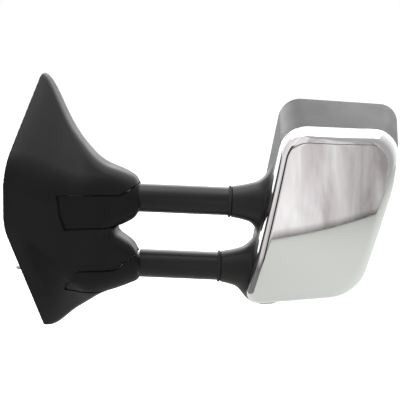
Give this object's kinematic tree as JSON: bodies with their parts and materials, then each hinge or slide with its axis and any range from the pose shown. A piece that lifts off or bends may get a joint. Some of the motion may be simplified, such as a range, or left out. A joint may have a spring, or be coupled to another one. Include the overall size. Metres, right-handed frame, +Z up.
{
  "type": "telescoping towing mirror",
  "caption": "Left-hand folding and telescoping tow mirror: black fin-shaped door base, round slide tubes, and a tall head with a chrome front cap and adjustable flat and convex glasses.",
  "frame": {"origin": "centre of the three-stud circle, on the door face of the gasket", "axes": "+X outboard, away from the door and square to its face; +Y towards the rear of the vehicle; +Z up"},
  "size_m": [0.524, 0.2442, 0.3839],
  "materials": {
    "cover_black": "fine moulded grain, satin",
    "fairing_black": "fine moulded grain, satin",
    "housing_black": "fine moulded grain, satin",
    "bezel_black": "fine moulded grain, satin",
    "inner_plastic": "as moulded",
    "bearing_plastic": "smooth, natural nylon",
    "chrome": "mirror bright plating",
    "tube_black": "semi-gloss black powder coat",
    "casting": "as cast",
    "steel": "zinc plated",
    "gasket_foam": "closed cell foam",
    "rubber": "matt",
    "mirror": "first surface silver",
    "heater": "amber film"
  },
  "bodies": {
    "base": {"base_cover": "cover_black", "base_gasket": "gasket_foam", "base_plate": "casting", "mounting_studs": "steel", "harness_grommet": "rubber", "cover_screws": "steel", "barrel_bush_upper": "bearing_plastic", "barrel_bush_lower": "bearing_plastic", "detent_ring_fixed": "steel"},
    "arms": {"detent_ring_moving": "steel", "pivot_shaft": "steel", "upper_knuckle": "casting", "lower_knuckle": "casting", "detent_spring": "steel", "spring_washer": "steel", "shaft_nut": "steel", "upper_tube": "tube_black", "lower_tube": "tube_black", "tube_end_link": "casting", "upper_fairing_front": "fairing_black", "upper_fairing_rear": "fairing_black", "lower_fairing_front": "fairing_black", "lower_fairing_rear": "fairing_black"},
    "head": {"head_housing": "housing_black", "chrome_cap": "chrome", "upper_wiper": "rubber", "lower_wiper": "rubber", "slide_carriage": "casting", "upper_bush_inner": "bearing_plastic", "upper_bush_outer": "bearing_plastic", "lower_bush_inner": "bearing_plastic", "lower_bush_outer": "bearing_plastic", "slide_plunger": "bearing_plastic", "plunger_spring": "steel", "plunger_screw": "steel", "carriage_screws": "steel", "glass_bezel": "bezel_black", "actuator_frame": "inner_plastic", "frame_screws": "steel", "actuator_case": "inner_plastic", "actuator_lid": "inner_plastic", "pitch_motor": "steel", "yaw_motor": "steel", "spot_bracket": "inner_plastic"},
    "glass_yaw_ring": {"glass_gimbal": "bearing_plastic"},
    "glass_carrier": {"glass_backing": "inner_plastic", "heater_pad": "heater", "main_glass": "mirror"},
    "pitch_jack": {"pitch_jackscrew": "bearing_plastic"},
    "yaw_jack": {"yaw_jackscrew": "bearing_plastic"},
    "spot_yaw_ring": {"spot_gimbal": "bearing_plastic"},
    "spot_carrier": {"spot_backing": "inner_plastic", "spot_glass": "mirror"}
  },
  "joints": [
    {"name": "fold", "type": "hinge", "parent": "base", "child": "arms", "pos_m": [0.09292, 0.01175, 0.018], "axis": [0, 0, 1], "range_deg": [-50, 75]},
    {"name": "telescope", "type": "slide", "parent": "arms", "child": "head", "axis": [0.9781, 0.2079, 0], "range_m": [-0.078, 0.018]},
    {"name": "glass_yaw", "type": "hinge", "parent": "head", "child": "glass_yaw_ring", "pos_m": [0.39988, 0.11636, 0.098], "axis": [0, 0, 1], "range_deg": [-6, 6]},
    {"name": "glass_pitch", "type": "hinge", "parent": "glass_yaw_ring", "child": "glass_carrier", "pos_m": [0.39988, 0.11636, 0.098], "axis": [0.9781, 0.2079, 0], "range_deg": [-6, 6]},
    {"name": "pitch_jack_travel", "type": "slide", "parent": "head", "child": "pitch_jack", "axis": [-0.2079, 0.9781, 0], "range_m": [-0.0033, 0.0033]},
    {"name": "yaw_jack_travel", "type": "slide", "parent": "head", "child": "yaw_jack", "axis": [-0.2079, 0.9781, 0], "range_m": [-0.0033, 0.0033]},
    {"name": "spot_yaw", "type": "hinge", "parent": "head", "child": "spot_yaw_ring", "pos_m": [0.37641, 0.11137, -0.045], "axis": [0, 0, 1], "range_deg": [-8, 8]},
    {"name": "spot_pitch", "type": "hinge", "parent": "spot_yaw_ring", "child": "spot_carrier", "pos_m": [0.37641, 0.11137, -0.045], "axis": [0.9781, 0.2079, 0], "range_deg": [-8, 8]}
  ],
  "couplings": [
    {"joint": "pitch_jack_travel", "follows": "glass_pitch", "m_per_rad": 0.03},
    {"joint": "yaw_jack_travel", "follows": "glass_yaw", "m_per_rad": 0.03}
  ]
}
